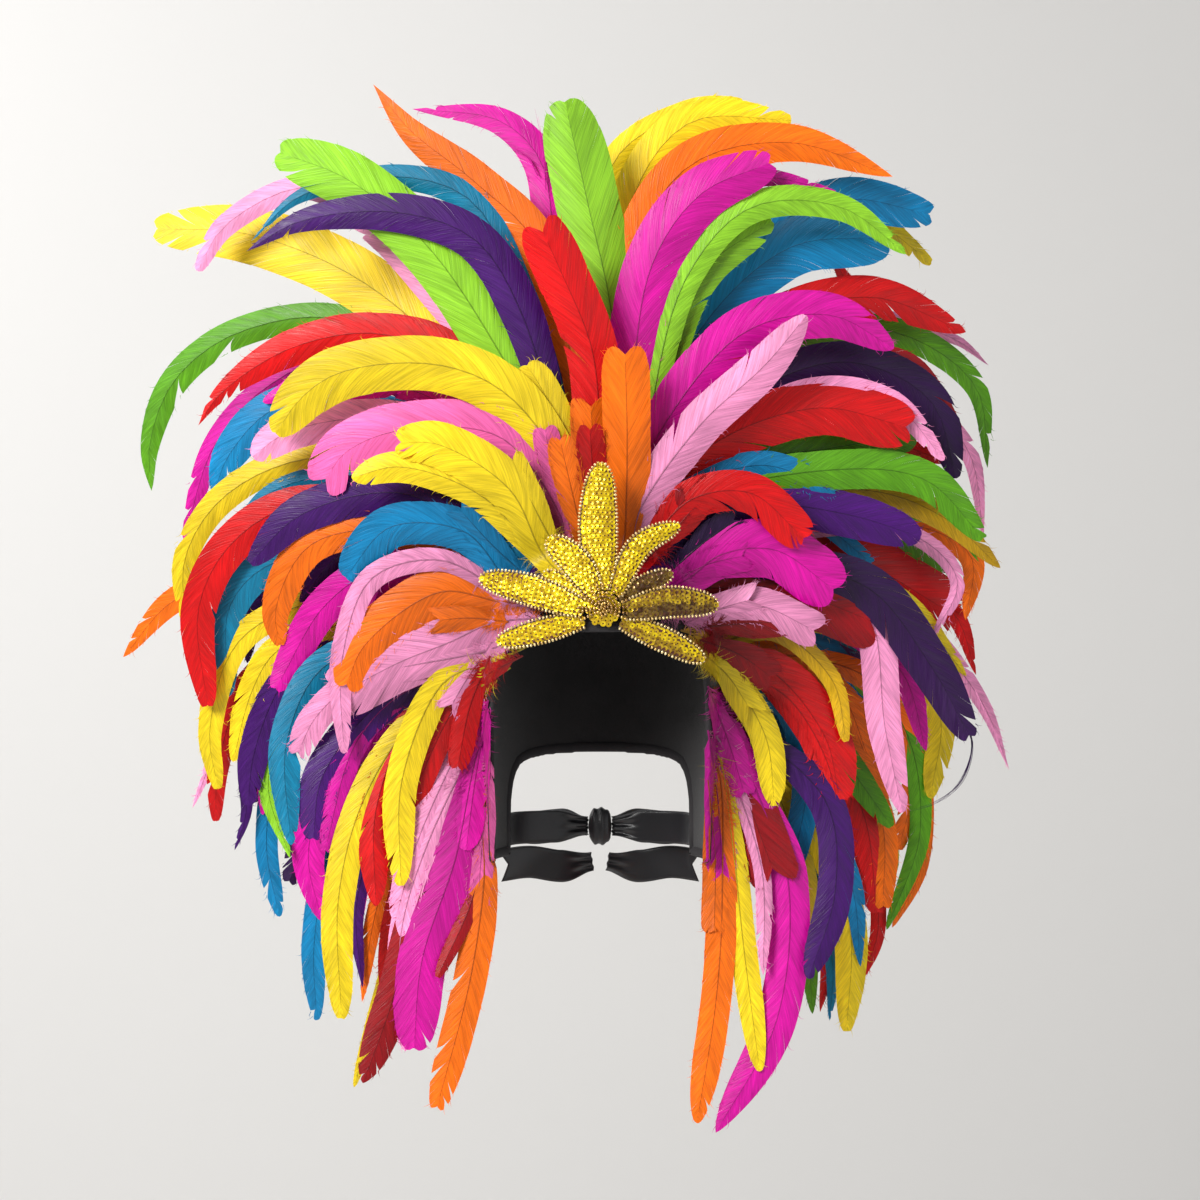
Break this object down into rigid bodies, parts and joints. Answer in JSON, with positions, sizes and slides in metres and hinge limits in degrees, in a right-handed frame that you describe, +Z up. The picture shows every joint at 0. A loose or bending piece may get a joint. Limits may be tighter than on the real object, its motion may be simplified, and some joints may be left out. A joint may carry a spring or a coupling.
{
  "type": "carnival feather headdress",
  "caption": "Carnival headdress: felt hood edged with rows of dyed cock feathers round the face, a beaded sequin ornament on the forehead and ribbon ties at the nape.",
  "frame": {"origin": "inside top of the hood, where it rests on the crown of the wearer's head", "axes": "+Z up along the wearer's standing height, the face looks along -Y, +X is the wearer's left hand side"},
  "size_m": [0.6065, 0.2496, 0.6832],
  "materials": {
    "felt": "black wool felt, matt and napped",
    "feather": "dyed cock tail feathers in red, orange, yellow, lime, teal, purple, magenta and pink, satin sheen along the barbs",
    "sequin": "gold cup sequins with a row of pale gold seed beads round the edge",
    "bead": "bronze seed beads",
    "satin": "black satin ribbon with a soft sheen"
  },
  "bodies": {
    "root": {"felt_hood": "felt", "crest_row_1": "feather", "crest_row_2": "feather", "crest_row_4": "feather", "crest_row_3": "feather", "crest_row_5": "feather", "left_high_row_2": "feather", "left_high_row_3": "feather", "left_high_row_1": "feather", "left_high_row_4": "feather", "left_high_row_6": "feather", "left_low_row_4": "feather", "left_low_row_3": "feather", "left_low_row_2": "feather", "left_low_row_1": "feather", "crest_row_6": "feather", "right_high_row_6": "feather", "right_high_row_1": "feather", "right_high_row_4": "feather", "right_high_row_2": "feather", "right_high_row_3": "feather", "right_low_row_2": "feather", "right_low_row_1": "feather", "right_low_row_4": "feather", "right_low_row_3": "feather", "petal_left_brow": "sequin", "petal_left_outer": "sequin", "petal_left_inner": "sequin", "petal_left_top": "sequin", "petal_middle": "sequin", "petal_right_top": "sequin", "petal_right_inner": "sequin", "petal_right_outer": "sequin", "petal_right_brow": "sequin", "ornament_centre": "bead", "bow_knot": "satin", "tie_left": "satin", "bow_loop_left": "satin", "bow_tail_left": "satin", "tie_right": "satin", "bow_loop_right": "satin", "bow_tail_right": "satin"}
  },
  "joints": []
}
